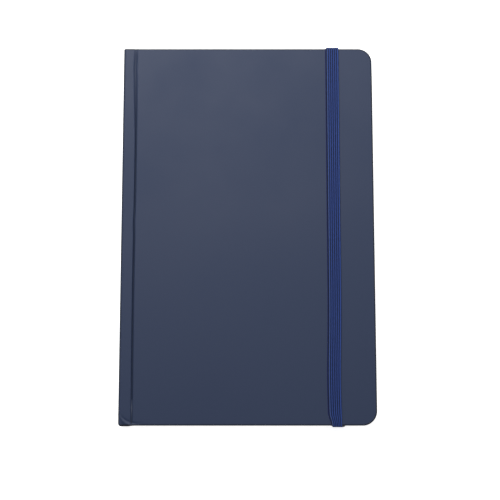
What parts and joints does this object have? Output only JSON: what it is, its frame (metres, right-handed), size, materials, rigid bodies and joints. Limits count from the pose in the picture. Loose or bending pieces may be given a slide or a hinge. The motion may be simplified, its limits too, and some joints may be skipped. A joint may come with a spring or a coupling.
{
  "type": "hardbound logbook",
  "caption": "Hardbound portrait logbook with rounded fore-edge corners, a hinge groove, sewn leaves that open flat and an elastic closure band.",
  "frame": {"origin": "middle of the closed book's outline, on the outer face of the back cover that it lies on", "axes": "+X from the spine to the fore-edge, +Y from the tail to the head, +Z from the back cover to the front cover"},
  "size_m": [0.142, 0.2152, 0.016],
  "materials": {
    "leatherette": "matte",
    "greyboard": "matte",
    "endpaper": "matte",
    "leaf_paper": "matte",
    "thread": "matte",
    "mull": "matte",
    "headband_cloth": "satin",
    "elastic": "satin"
  },
  "bodies": {
    "back_cover": {"back_board": "greyboard", "back_skin": "leatherette", "back_pastedown": "endpaper", "back_flyleaf": "endpaper", "signature_07": "leaf_paper", "signature_08": "leaf_paper", "signature_09": "leaf_paper", "signature_10": "leaf_paper", "signature_11": "leaf_paper", "signature_12": "leaf_paper", "thread_07": "thread", "thread_08": "thread", "thread_09": "thread", "thread_10": "thread", "thread_11": "thread", "thread_12": "thread", "spine_lining": "mull", "head_band": "headband_cloth", "tail_band": "headband_cloth", "elastic_head_end": "elastic", "elastic_tail_end": "elastic"},
    "spine": {"spine_board": "greyboard", "spine_skin": "leatherette"},
    "front_cover": {"front_board": "greyboard", "front_skin": "leatherette", "front_pastedown": "endpaper"},
    "flyleaf": {"front_flyleaf": "endpaper"},
    "leaves_01": {"signature_01": "leaf_paper", "thread_01": "thread"},
    "leaves_02": {"signature_02": "leaf_paper", "thread_02": "thread"},
    "leaves_03": {"signature_03": "leaf_paper", "thread_03": "thread"},
    "leaves_04": {"signature_04": "leaf_paper", "thread_04": "thread"},
    "leaves_05": {"signature_05": "leaf_paper", "thread_05": "thread"},
    "leaves_06": {"signature_06": "leaf_paper", "thread_06": "thread"},
    "elastic": {"elastic_run": "elastic", "elastic_head_leg": "elastic", "elastic_tail_leg": "elastic"}
  },
  "joints": [
    {"name": "back_joint_bend", "type": "hinge", "parent": "back_cover", "child": "spine", "pos_m": [-0.071, 0, 0], "axis": [0, -1, 0], "range_deg": [0, 90]},
    {"name": "front_joint_bend", "type": "hinge", "parent": "spine", "child": "front_cover", "pos_m": [-0.071, 0, 0.015], "axis": [0, -1, 0], "range_deg": [0, 90], "deforming": ["spine_lining", "head_band", "tail_band"]},
    {"name": "flyleaf_turn", "type": "hinge", "parent": "back_cover", "child": "flyleaf", "pos_m": [-0.0686, 0, 0.0075], "axis": [0, -1, 0], "range_deg": [0, 180]},
    {"name": "leaves_01_turn", "type": "hinge", "parent": "back_cover", "child": "leaves_01", "pos_m": [-0.0686, 0, 0.0075], "axis": [0, -1, 0], "range_deg": [0, 180]},
    {"name": "leaves_02_turn", "type": "hinge", "parent": "back_cover", "child": "leaves_02", "pos_m": [-0.0686, 0, 0.0075], "axis": [0, -1, 0], "range_deg": [0, 180]},
    {"name": "leaves_03_turn", "type": "hinge", "parent": "back_cover", "child": "leaves_03", "pos_m": [-0.0686, 0, 0.0075], "axis": [0, -1, 0], "range_deg": [0, 180]},
    {"name": "leaves_04_turn", "type": "hinge", "parent": "back_cover", "child": "leaves_04", "pos_m": [-0.0686, 0, 0.0075], "axis": [0, -1, 0], "range_deg": [0, 180]},
    {"name": "leaves_05_turn", "type": "hinge", "parent": "back_cover", "child": "leaves_05", "pos_m": [-0.0686, 0, 0.0075], "axis": [0, -1, 0], "range_deg": [0, 180]},
    {"name": "leaves_06_turn", "type": "hinge", "parent": "back_cover", "child": "leaves_06", "pos_m": [-0.0686, 0, 0.0075], "axis": [0, -1, 0], "range_deg": [0, 180]},
    {"name": "elastic_swing", "type": "hinge", "parent": "back_cover", "child": "elastic", "pos_m": [0.0635, 0, 0], "axis": [0, 1, 0], "range_deg": [0, 120], "stiffness_Nm_per_rad": 0.02}
  ],
  "couplings": [
    {"joint": "back_joint_bend", "follows": "front_joint_bend", "ratio": 1},
    {"joint": "flyleaf_turn", "follows": "front_joint_bend", "ratio": 2},
    {"joint": "leaves_01_turn", "follows": "front_joint_bend", "ratio": 1.995},
    {"joint": "leaves_02_turn", "follows": "front_joint_bend", "ratio": 1.99},
    {"joint": "leaves_03_turn", "follows": "front_joint_bend", "ratio": 1.985},
    {"joint": "leaves_04_turn", "follows": "front_joint_bend", "ratio": 1.98},
    {"joint": "leaves_05_turn", "follows": "front_joint_bend", "ratio": 1.975},
    {"joint": "leaves_06_turn", "follows": "front_joint_bend", "ratio": 1.97}
  ]
}
